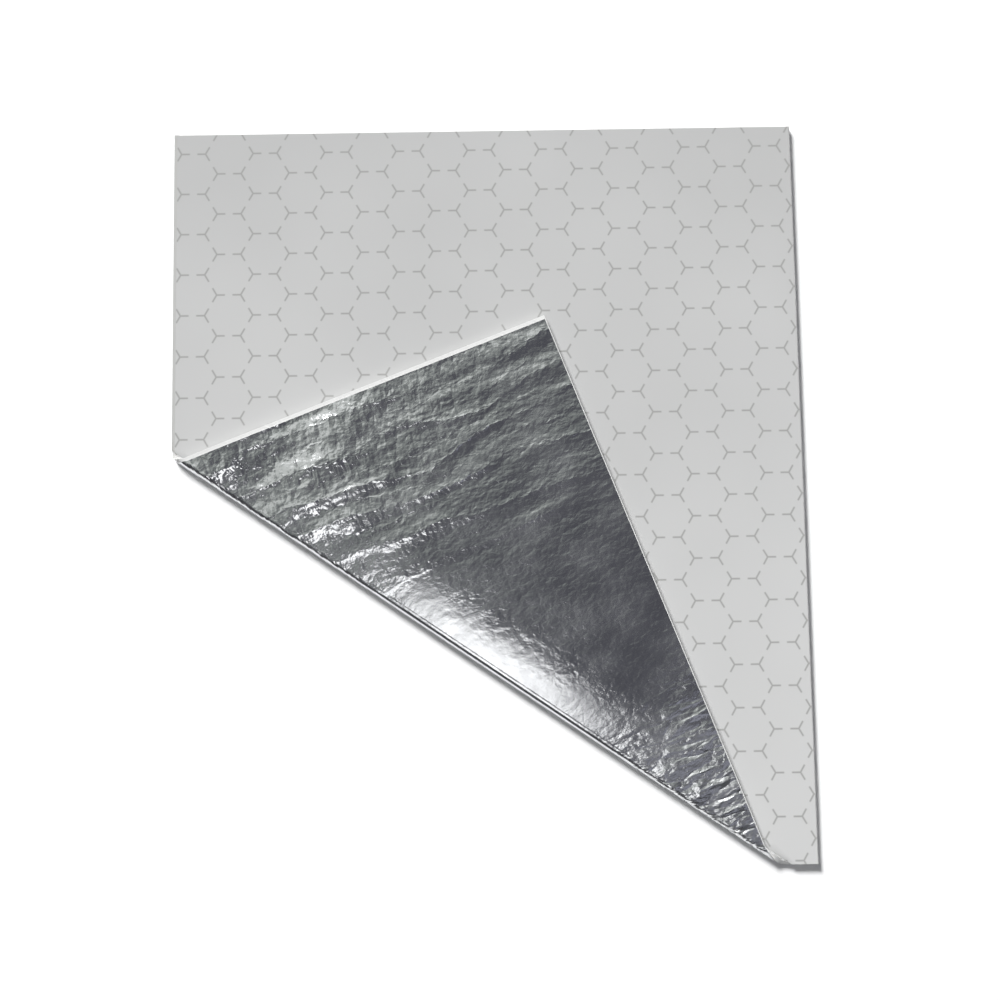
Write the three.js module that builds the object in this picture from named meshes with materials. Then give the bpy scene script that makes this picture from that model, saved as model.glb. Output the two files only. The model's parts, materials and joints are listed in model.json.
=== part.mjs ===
// A thin foam mat with a foil face, one corner folded over on top of it.
//
// The mat is a laminate of four sheets. From the floor up they are a foil facing, a white foam core,
// an adhesive coat and a printed release liner. One corner is turned up along a slanting fold and lies
// on the mat with its foil showing. Every sheet is first laid out flat and then folded, so each one
// keeps its own length along the outside of the bend.
//
// Units are millimetres, +Z is up. The origin is at the middle of the mat, on the floor.

import * as THREE from 'three';

// ---- Driving dimensions ----

const matWidth = 510;             // along X
const matLength = 600;            // along Y
const matThickness = 5;           // all four sheets together
const foilThickness = 0.2;
const adhesiveThickness = 0.2;
const linerThickness = 0.2;
const bondGap = 0.05;             // clearance left between two bonded sheets

// How far each sheet stops short of the foam's edges. The long left edge is a selvedge, where the
// facing and the liner stop early and leave a strip of bare foam.
const foilSelvedge = 3.3;
const foilEdgeInset = 0.8;
const linerSelvedge = 2.6;
const linerEdgeInset = 0.6;
const adhesiveInset = 1;          // inside the liner's own edge

// The fold. Its outer silhouette crosses the left edge and the front edge at these distances from the
// corner that is turned up.
const foldUpLeftEdge = 329.1;
const foldAlongFrontEdge = 479.7;
const bendInnerRadius = 1;        // of the liner's face, inside the bend
const flapTipGap = 0.3;           // between the flap's tip and the mat that it rests on

// The bend opens on a row of parallel hinge lines.
const hingeCount = 4;
const hingeGap = 0.3;             // between two neighbouring stretches, along the outside of the bend
const stepsPerStretch = 6;        // flat facets on each stretch of the bend

// ---- Sizes that follow ----

const bendOuterRadius = bendInnerRadius + matThickness;
const cornerX = -matWidth / 2;
const cornerY = -matLength / 2;

// Directions in the floor plane: along the fold, and outward across it, towards the corner's old place.
const alongFold = new THREE.Vector2(foldAlongFrontEdge, -foldUpLeftEdge).normalize();
const acrossFold = new THREE.Vector2(alongFold.y, -alongFold.x);
const silhouette = acrossFold.dot(new THREE.Vector2(cornerX, cornerY + foldUpLeftEdge));
const bendStart = silhouette - bendOuterRadius;

// The flap is turned a little past half a turn, until its tip comes down on the mat.
const flapReach = acrossFold.dot(new THREE.Vector2(cornerX, cornerY)) - bendStart - Math.PI * bendOuterRadius;
const flapTilt = Math.atan2(2 * bendInnerRadius - flapTipGap, flapReach);
const fullTurn = Math.PI + flapTilt;
const turnPerHinge = fullTurn / hingeCount;
const bendLength = bendOuterRadius * fullTurn;

// ---- Materials ----

const foilFinish = new THREE.MeshStandardMaterial({ color: 0xb4b8bb, roughness: 0.22, metalness: 1 });
const foamFinish = new THREE.MeshStandardMaterial({ color: 0xf1f1ee, roughness: 0.85, metalness: 0 });
const adhesiveFinish = new THREE.MeshStandardMaterial({ color: 0xe9e7df, roughness: 0.3, metalness: 0 });
const linerFinish = new THREE.MeshStandardMaterial({ color: 0xdfe2e4, roughness: 0.5, metalness: 0 });

// ---- The four sheets, from the floor up ----

const foilTop = foilThickness;
const linerBottom = matThickness - linerThickness;
const adhesiveBottom = linerBottom - bondGap - adhesiveThickness;

const sheets = [
  {
    name: 'foil', finish: foilFinish, bottom: 0, top: foilTop,
    leftInset: foilSelvedge, edgeInset: foilEdgeInset,
  },
  {
    name: 'foam', finish: foamFinish, bottom: foilTop + bondGap, top: adhesiveBottom - bondGap,
    leftInset: 0, edgeInset: 0,
  },
  {
    name: 'adhesive', finish: adhesiveFinish, bottom: adhesiveBottom, top: adhesiveBottom + adhesiveThickness,
    leftInset: linerSelvedge + adhesiveInset, edgeInset: linerEdgeInset + adhesiveInset,
  },
  {
    name: 'liner', finish: linerFinish, bottom: linerBottom, top: matThickness,
    leftInset: linerSelvedge, edgeInset: linerEdgeInset,
  },
];

// ---- The stretches that move as one body ----

// Places across the fold are measured along the outside of the bend, from where it leaves the floor.
const hingePlace = (hinge) => bendOuterRadius * turnPerHinge * (hinge - 0.5);

const stretches = [{ name: 'base', from: -Infinity, to: hingePlace(1) - hingeGap / 2 }];
for (let bend = 1; bend < hingeCount; bend += 1) {
  stretches.push({
    name: `bend_${bend}`,
    from: hingePlace(bend) + hingeGap / 2,
    to: hingePlace(bend + 1) - hingeGap / 2,
  });
}
stretches.push({ name: 'flap', from: hingePlace(hingeCount) + hingeGap / 2, to: Infinity });

// ---- Folding ----

// Where a point of the flat mat comes to lie once the corner is folded over. The point is given by its
// place on the flat mat and its height in the laminate.
function folded(flatPoint, height) {
  const place = acrossFold.dot(flatPoint) - bendStart;
  if (place <= 0) return new THREE.Vector3(flatPoint.x, flatPoint.y, height);

  const turn = Math.min(place, bendLength) / bendOuterRadius;
  const beyondBend = Math.max(place - bendLength, 0);
  const radius = bendOuterRadius - height;
  const across = bendStart + radius * Math.sin(turn) + beyondBend * Math.cos(turn);
  const rise = bendOuterRadius - radius * Math.cos(turn) + beyondBend * Math.sin(turn);
  const along = alongFold.dot(flatPoint);
  return new THREE.Vector3(
    along * alongFold.x + across * acrossFold.x,
    along * alongFold.y + across * acrossFold.y,
    rise,
  );
}

// Cuts a flat outline along the line at one place across the fold, and returns the piece on each side.
function cutAcross(outline, cutPlace) {
  const before = [];
  const after = [];
  outline.forEach((point, i) => {
    const next = outline[(i + 1) % outline.length];
    const here = acrossFold.dot(point) - bendStart - cutPlace;
    const there = acrossFold.dot(next) - bendStart - cutPlace;
    if (here <= 0) before.push(point);
    else after.push(point);
    if ((here <= 0) !== (there <= 0)) {
      const crossing = point.clone().lerp(next, here / (here - there));
      crossing.onCut = cutPlace;
      before.push(crossing);
      after.push(crossing);
    }
  });
  return [before, after];
}

// The places where a stretch is creased: its two ends, the ends of the bend, and the facets between.
function creases(stretch) {
  const first = Math.max(stretch.from, 0);
  const last = Math.min(stretch.to, bendLength);
  const steps = Number.isFinite(stretch.from) && Number.isFinite(stretch.to)
    ? stepsPerStretch
    : stepsPerStretch / 2;
  return Array.from({ length: steps + 1 }, (_, i) => first + (last - first) * (i / steps));
}

// One sheet's share of one stretch, as a closed solid.
function sheetSolid(sheet, stretch) {
  const left = cornerX + sheet.leftInset;
  const right = -cornerX - sheet.edgeInset;
  const front = cornerY + sheet.edgeInset;
  const back = -cornerY - sheet.edgeInset;
  let remaining = [
    new THREE.Vector2(left, front),
    new THREE.Vector2(right, front),
    new THREE.Vector2(right, back),
    new THREE.Vector2(left, back),
  ];

  // Cut the flat outline into bands at its creases. A band outside the stretch is dropped.
  const cuts = creases(stretch);
  const bands = [];
  cuts.forEach((cut, i) => {
    const [before, after] = cutAcross(remaining, cut);
    if (i > 0 || stretch.from === -Infinity) bands.push(before);
    remaining = after;
  });
  if (stretch.to === Infinity) bands.push(remaining);

  const positions = [];
  const addTriangle = (...corners) => corners.forEach((corner) => positions.push(...corner.toArray()));
  const ends = [stretch.from, stretch.to];

  bands.forEach((band) => {
    const lower = band.map((point) => folded(point, sheet.bottom));
    const upper = band.map((point) => folded(point, sheet.top));
    band.forEach((point, i) => {
      const j = (i + 1) % band.length;
      if (i > 0 && j > 0) {
        addTriangle(upper[0], upper[i], upper[j]);
        addTriangle(lower[0], lower[j], lower[i]);
      }
      const onOneCrease = point.onCut !== undefined && point.onCut === band[j].onCut;
      if (onOneCrease && !ends.includes(point.onCut)) return;
      addTriangle(lower[i], lower[j], upper[j]);
      addTriangle(lower[i], upper[j], upper[i]);
    });
  });

  const geometry = new THREE.BufferGeometry();
  geometry.setAttribute('position', new THREE.Float32BufferAttribute(positions, 3));
  geometry.computeVertexNormals();
  return geometry;
}

// ---- The mat ----

const mat = new THREE.Group();
stretches.forEach((stretch) => {
  const body = new THREE.Group();
  sheets.forEach((sheet) => {
    const mesh = new THREE.Mesh(sheetSolid(sheet, stretch), sheet.finish);
    mesh.name = `${sheet.name}_${stretch.name}`;
    body.add(mesh);
  });
  mat.add(body);
});

export default mat;
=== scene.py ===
"""A thin foil-faced foam mat, printed side up, with one corner folded over so that its foil shows."""

import json
import math

import bmesh
import bpy
from mathutils import Matrix, Vector, noise

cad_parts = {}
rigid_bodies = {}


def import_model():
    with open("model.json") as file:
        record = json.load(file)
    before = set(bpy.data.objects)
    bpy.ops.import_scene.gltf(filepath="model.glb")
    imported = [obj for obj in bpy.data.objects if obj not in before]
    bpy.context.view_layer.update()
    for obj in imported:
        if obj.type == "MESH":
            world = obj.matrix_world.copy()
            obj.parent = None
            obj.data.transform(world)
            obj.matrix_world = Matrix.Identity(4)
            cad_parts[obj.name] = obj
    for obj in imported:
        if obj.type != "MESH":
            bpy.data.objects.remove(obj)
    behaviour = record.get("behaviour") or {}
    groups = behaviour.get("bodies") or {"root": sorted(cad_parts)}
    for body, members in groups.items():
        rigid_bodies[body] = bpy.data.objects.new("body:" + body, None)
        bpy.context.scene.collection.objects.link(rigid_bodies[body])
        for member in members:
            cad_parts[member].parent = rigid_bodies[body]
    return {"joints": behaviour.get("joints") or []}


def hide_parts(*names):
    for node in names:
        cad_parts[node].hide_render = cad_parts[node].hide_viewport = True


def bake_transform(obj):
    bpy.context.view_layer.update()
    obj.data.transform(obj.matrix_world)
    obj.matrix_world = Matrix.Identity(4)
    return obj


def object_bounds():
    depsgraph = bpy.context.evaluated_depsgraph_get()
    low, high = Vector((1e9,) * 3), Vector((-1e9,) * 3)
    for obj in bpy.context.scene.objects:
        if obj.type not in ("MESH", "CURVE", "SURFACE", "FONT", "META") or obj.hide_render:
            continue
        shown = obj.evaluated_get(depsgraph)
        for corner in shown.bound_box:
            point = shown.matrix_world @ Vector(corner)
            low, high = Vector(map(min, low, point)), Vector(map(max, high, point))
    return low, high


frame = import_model()
cad_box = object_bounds()


# ---- The fold ----
# The mat is one flat laminate. Its front left corner is turned up along a slanting line, goes round a
# tight bend and lies on the mat. Every layer below is cut flat, and then folded by the functions here.

MILLIMETRE = 0.001

mat_low, mat_high = cad_box
mat_thickness = 5 * MILLIMETRE
hinges = [Vector(joint["pos_m"]) for joint in frame["joints"]]
turn_per_hinge = math.radians(frame["joints"][0]["range_deg"][1])
full_turn = turn_per_hinge * len(hinges)

along_fold = Vector(frame["joints"][0]["axis"]).normalized()
across_fold = Vector((along_fold.y, -along_fold.x, 0))
outer_radius = mat_high.z / (1 + math.cos(full_turn - math.pi))
hinge_radius = outer_radius * (turn_per_hinge / 2) / math.sin(turn_per_hinge / 2)
bend_start = hinges[0].dot(across_fold) - hinge_radius * math.sin(turn_per_hinge / 2)
stretch = outer_radius * turn_per_hinge
bend_length = outer_radius * full_turn
hinge_height = outer_radius - hinge_radius * math.cos(turn_per_hinge / 2)

# The crease squeezes the foam, so that the foil runs down in a soft shoulder towards the bend.
squeeze_depth = 0.5
shoulder_length = 46 * MILLIMETRE


def smooth(value, low, high):
    """0 below low, 1 above high, and an S-curve between them."""
    t = min(max((value - low) / (high - low), 0), 1)
    return t * t * (3 - 2 * t)


def place_of(point):
    """How far a point of the flat mat lies past the start of the bend."""
    return point.x * across_fold.x + point.y * across_fold.y - bend_start


def squeezed(place, height):
    """The height in the laminate once the crease has pressed the foam together."""
    into_bend = smooth(place, 0.3 * bend_length, bend_length)
    past_bend = min(max((place - bend_length) / shoulder_length, 0), 1)
    return height + (mat_thickness - height) * squeeze_depth * into_bend * (1 - past_bend) ** 2


def round_the_bend(place, height):
    """Where a layer lies on a true arc: its distance across the fold and its rise."""
    turn = min(max(place, 0), bend_length) / outer_radius
    beyond = max(place - bend_length, 0)
    radius = outer_radius - height
    across = radius * math.sin(turn) + beyond * math.cos(turn)
    rise = outer_radius - radius * math.cos(turn) + beyond * math.sin(turn)
    return across, rise


def rolled_closed(place, height, reach):
    """Where a layer lies so that it comes out flat when the hinges open. reach is half the width of the
    strip, at the hinge, in which the layer turns from one body to the next."""
    number = min(int(place / stretch), len(hinges) - 1)
    offset = place - (number + 0.5) * stretch
    above = height - hinge_height
    distance = math.hypot(offset, above)
    flat_angle = math.atan2(offset, above)
    share_low, share_high = 0.0, 1.0
    for _ in range(30):
        share = (share_low + share_high) / 2
        sideways = distance * math.sin(flat_angle + (0.5 - share) * turn_per_hinge)
        if smooth(sideways, -reach, reach) > share:
            share_low = share
        else:
            share_high = share
    closed = flat_angle + (0.5 - share) * turn_per_hinge
    towards_hinge = (number + 0.5) * turn_per_hinge
    radius = hinge_radius - distance * math.cos(closed)
    sideways = distance * math.sin(closed)
    across = radius * math.sin(towards_hinge) + sideways * math.cos(towards_hinge)
    rise = outer_radius - radius * math.cos(towards_hinge) + sideways * math.sin(towards_hinge)
    return across, rise


def fold(point, reach, inner_share):
    """A point of the flat mat, folded. inner_share is 0 for the outside of the bend and 1 for the inside."""
    place = place_of(point)
    if place <= 0:
        return point.copy()
    along = point.dot(along_fold)
    height = squeezed(place, point.z)
    across, rise = round_the_bend(place, height)
    if place < bend_length and inner_share > 0:
        inner_across, inner_rise = rolled_closed(place, height, reach)
        across += (inner_across - across) * inner_share
        rise += (inner_rise - rise) * inner_share
    folded = along_fold * along + across_fold * (bend_start + across)
    folded.z = rise
    return folded


def flat_slab(low, high, cell):
    """A flat closed slab between two corners, with its large faces divided into cells."""
    size = high - low
    slab = bmesh.new()
    bmesh.ops.create_grid(
        slab,
        x_segments=max(1, round(size.x / cell)),
        y_segments=max(1, round(size.y / cell)),
        size=0.5,
    )
    bmesh.ops.scale(slab, vec=(size.x, size.y, 1), verts=slab.verts)
    bmesh.ops.translate(slab, vec=(low + high) / 2, verts=slab.verts)
    bmesh.ops.translate(slab, vec=(0, 0, size.z / 2), verts=slab.verts)
    bmesh.ops.solidify(slab, geom=slab.faces, thickness=size.z)
    bmesh.ops.recalc_face_normals(slab, faces=slab.faces)
    return slab


def crease(slab, place, keep_before=False, keep_after=False):
    """Cuts an edge across the slab, parallel to the fold. One side may be taken off and the cut closed."""
    bmesh.ops.bisect_plane(
        slab,
        geom=slab.verts[:] + slab.edges[:] + slab.faces[:],
        dist=1e-7,
        plane_co=across_fold * (bend_start + place),
        plane_no=across_fold,
        clear_outer=keep_before,
        clear_inner=keep_after,
    )
    if keep_before or keep_after:
        open_edges = [edge for edge in slab.edges if edge.is_boundary]
        bmesh.ops.holes_fill(slab, edges=open_edges, sides=0)


# Edges are marked sharp on the flat layer, so that the shading holds at every turn of the hinges.
facets_per_stretch = 8
sharp_angle = math.radians(50)
bodies_in_order = [frame["joints"][0]["parent"]] + [joint["child"] for joint in frame["joints"]]


def lay_and_fold(layer, low, high, cells, reach, inner_share, material, relief=None):
    """Cuts one layer into its four pieces, one for each hinge, folds them, and hides the model's parts that
    they stand in for.
    """
    pieces = []
    for number, hinge in enumerate(hinges):
        is_first, is_last = number == 0, number == len(hinges) - 1
        slab = flat_slab(low, high, cells[number])
        if not is_first:
            crease(slab, number * stretch, keep_after=True)
        if not is_last:
            crease(slab, (number + 1) * stretch, keep_before=True)
        for facet in range(facets_per_stretch + 1):
            crease(slab, (number + facet / facets_per_stretch) * stretch)

        flat_map = slab.loops.layers.uv.new("flat")
        for face in slab.faces:
            for corner in face.loops:
                corner[flat_map].uv = corner.vert.co.x, corner.vert.co.y
        for edge in slab.edges:
            edge.smooth = edge.calc_face_angle(0) < sharp_angle
        depth = slab.verts.layers.float.new("height_share")
        for vert in slab.verts:
            flat_point = vert.co.copy()
            if relief:
                flat_point.z += relief(flat_point)
            height_share = (flat_point.z - low.z) / (high.z - low.z)
            vert[depth] = height_share
            vert.co = fold(flat_point, reach, inner_share(height_share))

        name = f"{layer}_{number + 1}"
        mesh = bpy.data.meshes.new(name)
        slab.to_mesh(mesh)
        slab.free()
        mesh.shade_smooth()
        mesh.materials.append(material)
        piece = bpy.data.objects.new(name, mesh)
        bpy.context.scene.collection.objects.link(piece)

        body, next_body = bodies_in_order[number : number + 2]
        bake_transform(piece)
        if is_first:
            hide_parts(f"{layer}_{body}")
        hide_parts(f"{layer}_{next_body}")
        pieces.append(piece)
    return pieces


def node_chain(material):
    """Shorthand for a material's nodes: add makes one, value is a Math node's result, links joins two."""
    nodes, links = material.node_tree.nodes, material.node_tree.links

    def add(kind, inputs=(), **settings):
        made = nodes.new(kind)
        for key, setting in settings.items():
            setattr(made, key, setting)
        for socket, item in dict(inputs).items():
            if isinstance(item, bpy.types.NodeSocket):
                links.new(item, made.inputs[socket])
            else:
                made.inputs[socket].default_value = item
        return made

    def value(operation, *inputs):
        return add("ShaderNodeMath", enumerate(inputs), operation=operation).outputs[0]

    return add, value, links


def new_material(name):
    material = bpy.data.materials.new(name)
    material.use_nodes = True
    return material, material.node_tree.nodes["Principled BSDF"]


# ---- Foil facing ----
# Thin laminated aluminium foil, bonded to the foam's whole underside except for the selvedge. It came
# off a roll, so broad waves run along the mat's length, with sharp crinkles across them.

foil_thickness = 0.2 * MILLIMETRE
foil_selvedge = 3.3 * MILLIMETRE
foil_inset = 0.8 * MILLIMETRE
foil_low = Vector((mat_low.x + foil_selvedge, mat_low.y + foil_inset, 0))
foil_high = Vector((mat_high.x - foil_inset, mat_high.y - foil_inset, foil_thickness))

wave_height = 0.11 * MILLIMETRE
wave_reach = 0.20
wave_length = 27 * MILLIMETRE
crinkle_height = 0.04 * MILLIMETRE
crinkle_width = 5 * MILLIMETRE
crinkle_length = 9 * MILLIMETRE
buckle_height = 0.24 * MILLIMETRE
buckle_width = 13 * MILLIMETRE
buckle_length = 30 * MILLIMETRE
edge_bond = 3 * MILLIMETRE

# Distances along the fold between which the buckling at each of its ends sets in.
left_end_from, left_end_full = 0.03, -0.13
right_end_from, right_end_full = 0.17, 0.29


def foil_relief(point):
    """How far the foil stands into or off the foam at a point of the flat mat."""
    drift = noise.noise(Vector((point.x * 9, point.y * 7, 2.3)))
    wave = math.sin((point.x / wave_length + 0.4 * drift) * 2 * math.pi)
    wave *= 1 - smooth(point.x - foil_low.x, 0.4 * wave_reach, wave_reach)
    across, along = point.x / crinkle_width, point.y / crinkle_length
    bent = noise.noise(Vector((point.x * 120, point.y * 120, 7.7)))
    crinkle = 0.5 - 2 * abs(noise.noise(Vector((across + bent, along, 0.4))))
    down_fold_here = point.dot(along_fold)
    near_ends = smooth(down_fold_here, right_end_from, right_end_full)
    near_ends += 0.5 * smooth(-down_fold_here, -left_end_from, -left_end_full)
    past_fold = smooth(place_of(point), 0, bend_length)
    creased = noise.noise(Vector((point.x / buckle_width, point.y / buckle_length, 3.6)))
    buckle = (0.4 - 2 * abs(creased)) * near_ends * past_fold
    edge = min(
        point.x - foil_low.x, foil_high.x - point.x, point.y - foil_low.y, foil_high.y - point.y
    )
    height = wave_height * wave + crinkle_height * crinkle + buckle_height * buckle
    return -height * smooth(edge, -edge_bond / 3, edge_bond)


foil, foil_shader = new_material("crinkled_foil")
add, value, links = node_chain(foil)
foil_flat = add("ShaderNodeUVMap", uv_map="flat")
foil_axes = add("ShaderNodeSeparateXYZ", {"Vector": foil_flat.outputs["UV"]})
flat_x, flat_y = foil_axes.outputs["X"], foil_axes.outputs["Y"]


def foil_spread(across_size, along_size, turn):
    """The flat foil's coordinates, counted in grains of one size across the roll and one along it."""
    inputs = {
        "Vector": foil_flat.outputs["UV"],
        "Rotation": (0, 0, turn),
        "Scale": (1 / across_size, 1 / along_size, 1),
    }
    return add("ShaderNodeMapping", inputs).outputs["Vector"]


def foil_noise(across_size, along_size, detail=2.0, turn=0.0, warp=0.0):
    """Noise on the flat foil, from 0 to 1."""
    spread = foil_spread(across_size, along_size, turn)
    inputs = {"Vector": spread, "Scale": 1.0, "Detail": detail, "Distortion": warp}
    return add("ShaderNodeTexNoise", inputs).outputs["Fac"]


def facets(across_size, along_size, slope, turn=0.0):
    """Flat-sided dents with sharp creases between them: their depth in millimetres for a given slope."""
    spread = foil_spread(across_size, along_size, turn)
    sway = add("ShaderNodeTexNoise", {"Vector": spread, "Scale": 1.3, "Detail": 2.0})
    bent = add("ShaderNodeVectorMath", {0: spread, 1: sway.outputs["Color"]}, operation="ADD")
    dents = add(
        "ShaderNodeTexVoronoi",
        {"Vector": bent.outputs["Vector"], "Scale": 1.0},
        voronoi_dimensions="2D",
        feature="DISTANCE_TO_EDGE",
    )
    depth = slope * min(across_size, along_size) / MILLIMETRE
    return value("MULTIPLY", dents.outputs["Distance"], depth)


def ridges(*sizes, **options):
    """Sharp-backed creases: 1 on a crease, falling to 0 between creases."""
    away = value("ABSOLUTE", value("SUBTRACT", foil_noise(*sizes, **options), 0.5))
    return value("SUBTRACT", 1.0, value("MULTIPLY", away, 4.0))


def ramp(item, low, high):
    """A soft step of 0 below low and 1 above high, or the other way round when high is below low."""
    made = add("ShaderNodeMapRange", {"Value": item, "From Min": low, "From Max": high})
    made.interpolation_type = "SMOOTHSTEP"
    return made.outputs["Result"]


def total(*items):
    """The sum of any number of sockets."""
    result = items[0]
    for item in items[1:]:
        result = value("ADD", result, item)
    return result


# Long waves of the roll, strong near the selvedge, with borders broken into short zigzag creases.
band_sway = value("MULTIPLY", foil_noise(0.07, 0.13, detail=1.0), 62 * MILLIMETRE)
band_nick = value("MULTIPLY", foil_noise(0.007, 0.009, detail=2.0), 7 * MILLIMETRE)
band_place = total(flat_x, band_sway, band_nick)
band = value("DIVIDE", value("PINGPONG", band_place, wave_length / 2), wave_length / 2)
border = value("ABSOLUTE", value("SUBTRACT", value("MULTIPLY", band, 2.0), 1.0))
border = value("POWER", border, 2.0)
fades = ramp(flat_x, mat_low.x + wave_reach, mat_low.x + 0.45 * wave_reach)
patchy = ramp(foil_noise(0.05, 0.075, detail=1.0), 0.34, 0.62)
streaks = value("MULTIPLY", foil_noise(0.020, 0.065, detail=2.0, warp=0.4), 1.3)
band_shape = value("ADD", value("MULTIPLY", value("MULTIPLY", band, patchy), 0.72), streaks)
band_share = value("ADD", value("MULTIPLY", fades, 0.88), 0.06)
band_depth = value("MULTIPLY", value("MULTIPLY", band_shape, band_share), MILLIMETRE)
nicks = value("ADD", value("MULTIPLY", value("MULTIPLY", border, fades), 0.16), 0.030)
zigzag = value("MULTIPLY", ridges(0.0070, 0.0105, turn=0.5, warp=0.3), nicks)

# The crease makes the foil buckle at both of its ends, in slanting folds on the left and heavier on the
# right. Between them the foil is drawn tight over the shoulder.
slope_x, slope_y = along_fold.x, along_fold.y
down_fold = value("ADD", value("MULTIPLY", flat_x, slope_x), value("MULTIPLY", flat_y, slope_y))
left_end = ramp(down_fold, left_end_from, left_end_full)
right_end = ramp(down_fold, right_end_from, right_end_full)
rain = ridges(0.024, 0.0095, turn=0.3, warp=0.2)
rain = value("MULTIPLY", rain, value("MULTIPLY", left_end, 0.20))
left_dents = total(facets(0.026, 0.013, 0.062, turn=0.35), facets(0.012, 0.008, 0.026))
left_dents = value("MULTIPLY", left_dents, left_end)
crumple = ridges(0.017, 0.046, detail=1.5, turn=0.25, warp=0.2)
crumple = value("MULTIPLY", crumple, value("MULTIPLY", right_end, 0.30))
right_dents = total(facets(0.014, 0.036, 0.21, turn=0.3), facets(0.008, 0.013, 0.10, turn=-0.5))
right_dents = value("MULTIPLY", right_dents, right_end)
dents = total(facets(0.009, 0.013, 0.026, turn=0.2), facets(0.0045, 0.006, 0.022, turn=-0.3))
dents = total(dents, left_dents, right_dents)
grain = value("MULTIPLY", ridges(0.0052, 0.0044, detail=4.0), 0.024)

# One broad buckle beside the fold's left tip.
broad_buckle_length = 0.095
broad_buckle_depth = 1.35
broad_buckle_full, broad_buckle_gone = 0.09, 0.13
tip_y = (hinges[0].dot(across_fold) - mat_low.x * across_fold.x) / across_fold.y
left_tip = mat_low.x * along_fold.x + tip_y * along_fold.y
past_tip = value("SUBTRACT", down_fold, left_tip)
buckle_wave = value("SINE", value("MULTIPLY", past_tip, 2 * math.pi / broad_buckle_length))
buckled = ramp(down_fold, left_tip + broad_buckle_gone, left_tip + broad_buckle_full)
buckle = value("MULTIPLY", buckle_wave, value("MULTIPLY", buckled, broad_buckle_depth))

# The tight stretch lies between the two ends, over the upper part of the shoulder.
tight_full, tight_gone = 0.020, 0.036
flat_place = value("ADD", value("MULTIPLY", flat_x, across_fold.x), value("MULTIPLY", flat_y, across_fold.y))
bend_end = bend_start + bend_length
tight = ramp(flat_place, bend_end + tight_gone, bend_end + tight_full)
between_ends = value("MULTIPLY", ramp(down_fold, -0.03, 0.01), ramp(down_fold, 0.22, 0.16))
tight = value("MULTIPLY", tight, between_ends)
loose = value("SUBTRACT", 1.0, value("MULTIPLY", tight, 0.75))
crinkled = total(zigzag, rain, crumple, dents, grain, buckle)
creases = value("MULTIPLY", crinkled, value("MULTIPLY", loose, MILLIMETRE))
foil_bump = add("ShaderNodeBump", {"Height": total(band_depth, creases), "Strength": 1.0, "Distance": 1.0})
foil_roughness = add(
    "ShaderNodeMapRange",
    {
        "Value": foil_noise(0.03, 0.04, detail=4.0),
        "From Min": 0.3,
        "From Max": 0.7,
        "To Min": 0.13,
        "To Max": 0.24,
    },
)
scuffed = value("ADD", foil_roughness.outputs["Result"], value("MULTIPLY", right_end, 0.10))
foil_shader.inputs["Base Color"].default_value = (0.76, 0.77, 0.78, 1)
foil_shader.inputs["Metallic"].default_value = 1.0
links.new(scuffed, foil_shader.inputs["Roughness"])
links.new(foil_bump.outputs["Normal"], foil_shader.inputs["Normal"])

foil_reach = outer_radius * math.sin(turn_per_hinge / 2)
hidden_cell, shown_cell = 3 * MILLIMETRE, 1.5 * MILLIMETRE
foil_cells = [hidden_cell, shown_cell, shown_cell, shown_cell]
foil_pieces = lay_and_fold(
    "foil", foil_low, foil_high, foil_cells, foil_reach, lambda share: 0, foil, foil_relief
)


# ---- Foam core ----
# White closed-cell polyethylene foam, cut clean on all four sides. It gives the mat its thickness and
# shows as a bare strip along the selvedge and as the cut edges. The upper side of the selvedge and its
# cut face are coloured a darker grey as painted shade.

foam_bottom = 0.45 * MILLIMETRE  # leaves room for the foil's relief
foam_top = 4.5 * MILLIMETRE
foam_low = Vector((mat_low.x, mat_low.y, foam_bottom))
foam_high = Vector((mat_high.x, mat_high.y, foam_top))
plain_cell = 12 * MILLIMETRE
painted_shade_strip = 4 * MILLIMETRE

foam, foam_shader = new_material("white_foam")
add, value, links = node_chain(foam)
foam_place = add("ShaderNodeTexCoord")
cells = add("ShaderNodeTexVoronoi", {"Vector": foam_place.outputs["Object"], "Scale": 1400.0})
cell_depth = cells.outputs["Distance"]
foam_bump = add("ShaderNodeBump", {"Height": cell_depth, "Strength": 0.4, "Distance": 0.0003})
foam_tone = add("ShaderNodeValToRGB", {"Fac": cell_depth})
foam_tone.color_ramp.elements[0].color = (0.76, 0.76, 0.75, 1)
foam_tone.color_ramp.elements[1].color = (0.70, 0.70, 0.69, 1)
foam_flat = add("ShaderNodeUVMap", uv_map="flat")
foam_axes = add("ShaderNodeSeparateXYZ", {"Vector": foam_flat.outputs["UV"]})
foam_height = add("ShaderNodeAttribute", attribute_name="height_share")
# Painted shade: the selvedge's upper strip and the cut face on the selvedge side are coloured dark grey.
on_selvedge = value("LESS_THAN", foam_axes.outputs["X"], mat_low.x + painted_shade_strip)
on_top = value("GREATER_THAN", foam_height.outputs["Fac"], 0.98)
on_cut = value("LESS_THAN", foam_axes.outputs["X"], mat_low.x + 0.02 * MILLIMETRE)
painted_shade = value("MAXIMUM", value("MULTIPLY", on_selvedge, on_top), on_cut)
foam_colour_and_shade = add("ShaderNodeMix", {"Factor": painted_shade}, data_type="RGBA")
links.new(foam_tone.outputs["Color"], foam_colour_and_shade.inputs["A"])
foam_colour_and_shade.inputs["B"].default_value = (0.46, 0.46, 0.45, 1)
links.new(foam_colour_and_shade.outputs["Result"], foam_shader.inputs["Base Color"])
links.new(foam_bump.outputs["Normal"], foam_shader.inputs["Normal"])
foam_shader.inputs["Roughness"].default_value = 0.75
foam_shader.inputs["Subsurface Weight"].default_value = 0.15
foam_shader.inputs["Subsurface Radius"].default_value = (0.003, 0.003, 0.003)

foam_reach = (outer_radius - foam_high.z) * math.sin(turn_per_hinge / 2)
foam_pieces = lay_and_fold(
    "foam", foam_low, foam_high, [plain_cell] * 4, foam_reach, lambda share: share, foam
)


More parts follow.
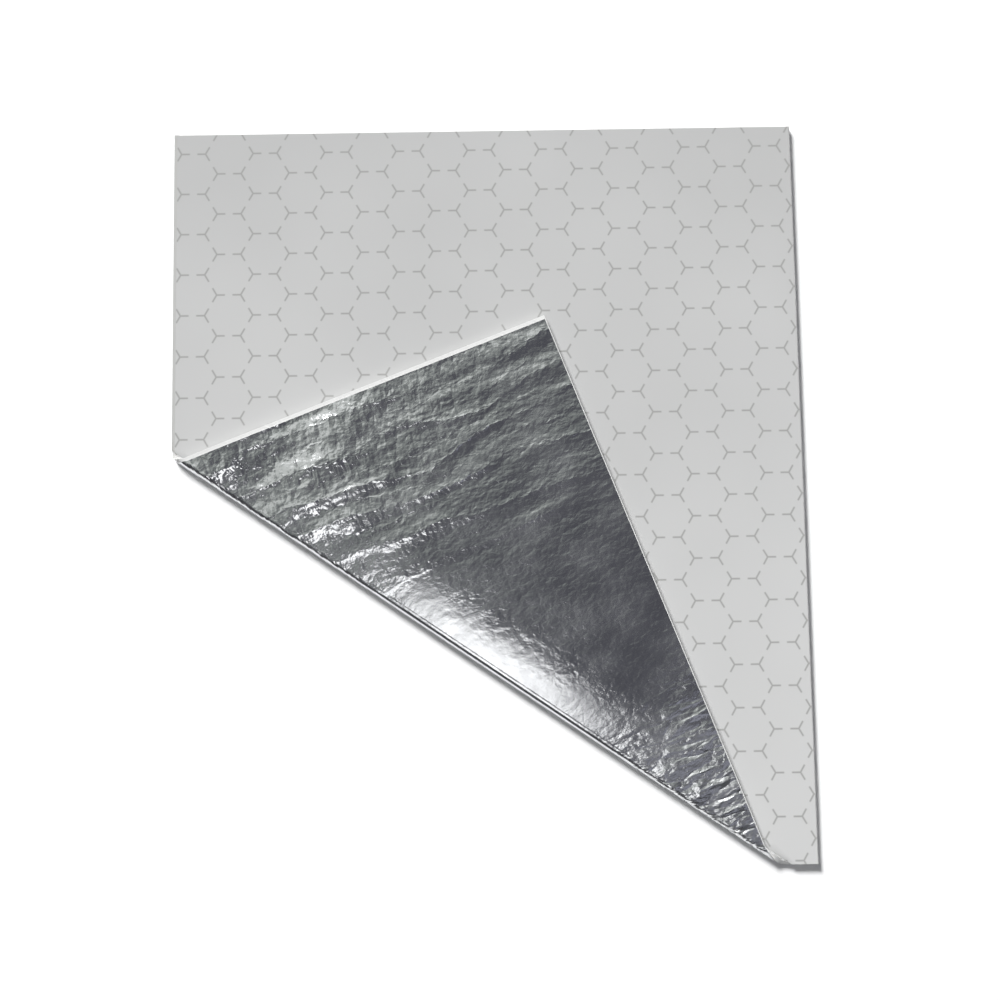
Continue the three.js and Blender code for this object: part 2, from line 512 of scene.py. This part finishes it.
# ---- Adhesive coat ----
# A thin tacky coat that holds the peel-off liner to the foam. It stops a little short of the liner.

adhesive_inset = 1.6 * MILLIMETRE
adhesive_selvedge = 3.6 * MILLIMETRE
adhesive_bottom, adhesive_top = 4.55 * MILLIMETRE, 4.75 * MILLIMETRE
adhesive_low = Vector((mat_low.x + adhesive_selvedge, mat_low.y + adhesive_inset, adhesive_bottom))
adhesive_high = Vector((mat_high.x - adhesive_inset, mat_high.y - adhesive_inset, adhesive_top))

adhesive, adhesive_shader = new_material("tacky_adhesive")
add, value, links = node_chain(adhesive)
adhesive_flat = add("ShaderNodeUVMap", uv_map="flat")
coat = add(
    "ShaderNodeTexNoise", {"Vector": adhesive_flat.outputs["UV"], "Scale": 240.0, "Detail": 3.0}
)
coat_bump = add(
    "ShaderNodeBump", {"Height": coat.outputs["Fac"], "Strength": 0.3, "Distance": 0.0002}
)
adhesive_shader.inputs["Base Color"].default_value = (0.79, 0.77, 0.70, 1)
adhesive_shader.inputs["Roughness"].default_value = 0.3
links.new(coat_bump.outputs["Normal"], adhesive_shader.inputs["Normal"])

adhesive_reach = (outer_radius - adhesive_high.z) * math.sin(turn_per_hinge / 2)
adhesive_pieces = lay_and_fold(
    "adhesive",
    adhesive_low,
    adhesive_high,
    [plain_cell] * 4,
    adhesive_reach,
    lambda share: 1,
    adhesive,
)


# ---- Printed liner ----
# A matt peel-off film, the mat's upper face. It is printed all over with a pale grid of hexagons, of
# which only the corners are drawn: three short strokes meet at each, and the middle of every side is bare.

liner_inset = 0.6 * MILLIMETRE
liner_selvedge = 2.6 * MILLIMETRE
liner_bottom = 4.8 * MILLIMETRE
liner_cell = 8 * MILLIMETRE
liner_low = Vector((mat_low.x + liner_selvedge, mat_low.y + liner_inset, liner_bottom))
liner_high = Vector((mat_high.x - liner_inset, mat_high.y - liner_inset, mat_thickness))

hexagon_side = 19.695 * MILLIMETRE
stroke_share = 0.345
stroke_width = 1.25 * MILLIMETRE
stroke_blur = 1.0 * MILLIMETRE
first_corner = Vector((mat_low.x + 1.814 * hexagon_side, mat_high.y - 1.714 * hexagon_side))

liner, liner_shader = new_material("printed_liner")
add, value, links = node_chain(liner)
liner_flat = add("ShaderNodeUVMap", uv_map="flat")
flat_axes = add("ShaderNodeSeparateXYZ", {"Vector": liner_flat.outputs["UV"]})
half_height = hexagon_side * math.sqrt(3) / 2

# A junction with a stroke to its right is a hexagon's right-hand corner, so the centre lies one side to
# its left. The centres make two interleaved grids.
centre = first_corner - Vector((hexagon_side, 0))
from_centres = []
for shift_x, shift_y in ((0, 0), (1.5 * hexagon_side, half_height)):
    x = value("SUBTRACT", flat_axes.outputs["X"], centre.x + shift_x)
    y = value("SUBTRACT", flat_axes.outputs["Y"], centre.y + shift_y)
    x = value("ABSOLUTE", value("WRAP", x, 1.5 * hexagon_side, -1.5 * hexagon_side))
    y = value("ABSOLUTE", value("WRAP", y, half_height, -half_height))
    distance = value("ADD", value("MULTIPLY", x, x), value("MULTIPLY", y, y))
    from_centres.append((x, y, distance))
(x_first, y_first, far_first), (x_second, y_second, far_second) = from_centres
takes_second = value("LESS_THAN", far_second, far_first)


def choose(switch, when_off, when_on):
    """when_on where switch is 1, when_off where it is 0."""
    return value("ADD", when_off, value("MULTIPLY", switch, value("SUBTRACT", when_on, when_off)))


x = choose(takes_second, x_first, x_second)
y = choose(takes_second, y_first, y_second)
slant = value("ADD", value("MULTIPLY", x, math.sqrt(3) / 2), value("MULTIPLY", y, 0.5))
slant_along = value("SUBTRACT", value("MULTIPLY", y, math.sqrt(3) / 2), value("MULTIPLY", x, 0.5))
on_slant = value("GREATER_THAN", slant, y)
to_side = value("SUBTRACT", half_height, value("MAXIMUM", slant, y))
along_side = value("ABSOLUTE", choose(on_slant, x, slant_along))
bare_half = hexagon_side * (0.5 - stroke_share)
near_side = add(
    "ShaderNodeMapRange",
    {
        "Value": to_side,
        "From Min": (stroke_width - stroke_blur) / 2,
        "From Max": (stroke_width + stroke_blur) / 2,
        "To Min": 1.0,
        "To Max": 0.0,
    },
)
near_corner = add(
    "ShaderNodeMapRange",
    {
        "Value": along_side,
        "From Min": bare_half - stroke_blur / 2,
        "From Max": bare_half + stroke_blur / 2,
    },
)
ink = value("MULTIPLY", near_side.outputs["Result"], near_corner.outputs["Result"])

film_cloud = add(
    "ShaderNodeTexNoise", {"Vector": liner_flat.outputs["UV"], "Scale": 5.0, "Detail": 2.0}
)
# Painted light: the film is coloured paler towards the front of the mat and a little towards the right, in
# place of light falling more brightly there. The cloud noise is the film's own uneven tone.
painted_light_fade = value("MULTIPLY", flat_axes.outputs["Y"], -1.1)
painted_light_fade = value("ADD", painted_light_fade, value("MULTIPLY", flat_axes.outputs["X"], 0.10))
film_and_light_share = value("ADD", value("ADD", painted_light_fade, film_cloud.outputs["Fac"]), 0.10)
film_and_light_colour = add("ShaderNodeValToRGB", {"Fac": film_and_light_share})
film_and_light_colour.color_ramp.elements[0].position = 0.15
film_and_light_colour.color_ramp.elements[0].color = (0.480, 0.481, 0.478, 1)
film_and_light_colour.color_ramp.elements[1].position = 0.95
film_and_light_colour.color_ramp.elements[1].color = (0.562, 0.563, 0.559, 1)
printed = add("ShaderNodeMix", {"Factor": ink}, data_type="RGBA")
links.new(film_and_light_colour.outputs["Color"], printed.inputs["A"])
printed.inputs["B"].default_value = (0.325, 0.325, 0.316, 1)
links.new(printed.outputs["Result"], liner_shader.inputs["Base Color"])
film_grain = add(
    "ShaderNodeTexNoise", {"Vector": liner_flat.outputs["UV"], "Scale": 900.0, "Detail": 2.0}
)
film_bump = add(
    "ShaderNodeBump", {"Height": film_grain.outputs["Fac"], "Strength": 0.08, "Distance": 0.0001}
)
links.new(film_bump.outputs["Normal"], liner_shader.inputs["Normal"])
liner_shader.inputs["Roughness"].default_value = 0.85
liner_shader.inputs["Specular IOR Level"].default_value = 0.2

liner_reach = (outer_radius - mat_thickness) * math.sin(turn_per_hinge / 2)
liner_pieces = lay_and_fold(
    "liner", liner_low, liner_high, [liner_cell] * 4, liner_reach, lambda share: 1, liner
)


# ---- What each layer was cut from ----
# Foil, adhesive and liner are sheets and the foam is a pad. For each sheet the loop below works out its flat
# sizes: the whole rectangle, the area up to the end of the first strip round the bend, and the folded
# corner's triangle. The sizes are not used further.


def cut_sizes(low, high):
    """The flat sizes of a layer: its whole rectangle, the part that stays, and the corner's triangle."""
    whole = high - low
    mat_limit = bend_start + stretch
    corner_start = bend_start + (len(hinges) - 1) * stretch

    def triangle(limit):
        depth = low.dot(across_fold) - limit
        return depth / abs(across_fold.x), depth / abs(across_fold.y)

    cut_wide, cut_long = triangle(mat_limit)
    corner_wide, corner_long = triangle(corner_start)
    return whole, whole.x * whole.y - cut_wide * cut_long / 2, (corner_wide, corner_long)


for low, high, pieces in (
    (foil_low, foil_high, foil_pieces),
    (adhesive_low, adhesive_high, adhesive_pieces),
    (liner_low, liner_high, liner_pieces),
):
    whole, kept_area, corner = cut_sizes(low, high)


# ---- Floor, light and camera ----
# A plain white floor, a low soft key light from the back left, a panel in front that the foil mirrors
# along the fold, and a dim room above that is paler towards the back left.

floor_drop = 0.5 * MILLIMETRE
floor_half_size = 40
floor_mesh = bpy.data.meshes.new("floor")
floor_form = bmesh.new()
bmesh.ops.create_grid(floor_form, x_segments=1, y_segments=1, size=floor_half_size)
bmesh.ops.translate(floor_form, vec=(0, 0, -floor_drop), verts=floor_form.verts)
floor_form.to_mesh(floor_mesh)
floor_form.free()
floor = bpy.data.objects.new("floor", floor_mesh)
bpy.context.scene.collection.objects.link(floor)
floor_paint, floor_shader = new_material("white_floor")
floor_shader.inputs["Base Color"].default_value = (0.95, 0.95, 0.95, 1)
floor_shader.inputs["Roughness"].default_value = 0.9
floor_shader.inputs["Specular IOR Level"].default_value = 0.0
floor_mesh.materials.append(floor_paint)


def aimed(name, lamp, place, aim):
    """Puts a lamp at place, pointing at aim."""
    light = bpy.data.objects.new(name, lamp)
    bpy.context.scene.collection.objects.link(light)
    place, aim = Vector(place), Vector(aim)
    turn = (aim - place).to_track_quat("-Z", "Y").to_matrix().to_4x4()
    light.matrix_world = Matrix.Translation(place) @ turn


key = bpy.data.lights.new("key", "SUN")
key.angle = math.radians(19)
key.energy = 5.75
aimed("key", key, (-0.50, 0.86, 0.61), (0, 0, 0))

fold_middle = Vector((-0.02, -0.13, 0.01))
panel = bpy.data.lights.new("panel", "AREA")
panel.shape = "RECTANGLE"
panel.size = 0.38
panel.size_y = 0.70
panel.energy = 1.4
panel_place = fold_middle + across_fold * 0.50 + along_fold * 0.05 + Vector((0, 0, 1.5))
aimed("panel", panel, panel_place, fold_middle)

world = bpy.data.worlds.new("room")
bpy.context.scene.world = world
world.use_nodes = True
add, value, links = node_chain(world)
room_way = add("ShaderNodeTexCoord")
room_axes = add("ShaderNodeSeparateXYZ", {"Vector": room_way.outputs["Generated"]})
room_up = value("MAXIMUM", room_axes.outputs["Z"], 0.02)
lean_x = value("DIVIDE", room_axes.outputs["X"], room_up)
lean_y = value("DIVIDE", room_axes.outputs["Y"], room_up)
back_left = value("SUBTRACT", value("MULTIPLY", lean_y, 0.75), value("MULTIPLY", lean_x, 0.66))


def room_tone(below, above, share):
    """One colour fading into another."""
    made = add("ShaderNodeMix", {"Factor": share}, data_type="RGBA")
    for socket, item in (("A", below), ("B", above)):
        if isinstance(item, bpy.types.NodeSocket):
            links.new(item, made.inputs[socket])
        else:
            made.inputs[socket].default_value = item
    return made.outputs["Result"]


front_right = value("SUBTRACT", value("MULTIPLY", lean_x, 0.8), value("MULTIPLY", lean_y, 0.6))
dim = room_tone((0.076, 0.076, 0.090, 1), (0.29, 0.31, 0.295, 1), ramp(back_left, -0.04, 0.36))
dim = room_tone(dim, (0.62, 0.64, 0.62, 1), ramp(back_left, 0.30, 0.44))
dim = room_tone(dim, (0.30, 0.305, 0.36, 1), ramp(front_right, 0.27, 0.44))
walls = room_tone(dim, (0.055, 0.056, 0.060, 1), ramp(room_axes.outputs["Z"], 0.84, 0.70))
whole_room = room_tone(walls, (0.90, 0.90, 0.90, 1), ramp(room_axes.outputs["Z"], 0.17, 0.09))
links.new(whole_room, world.node_tree.nodes["Background"].inputs["Color"])

camera = bpy.data.objects.new("camera", bpy.data.cameras.new("camera"))
bpy.context.scene.collection.objects.link(camera)
camera.data.lens = 50.4
camera.data.sensor_width = 36
camera.location = (0.00534, -0.13081, 1.12625)
camera.rotation_euler = [math.radians(angle) for angle in (6.23, -0.129, -0.93)]
bpy.context.scene.camera = camera
bpy.context.scene.view_settings.view_transform = "Standard"
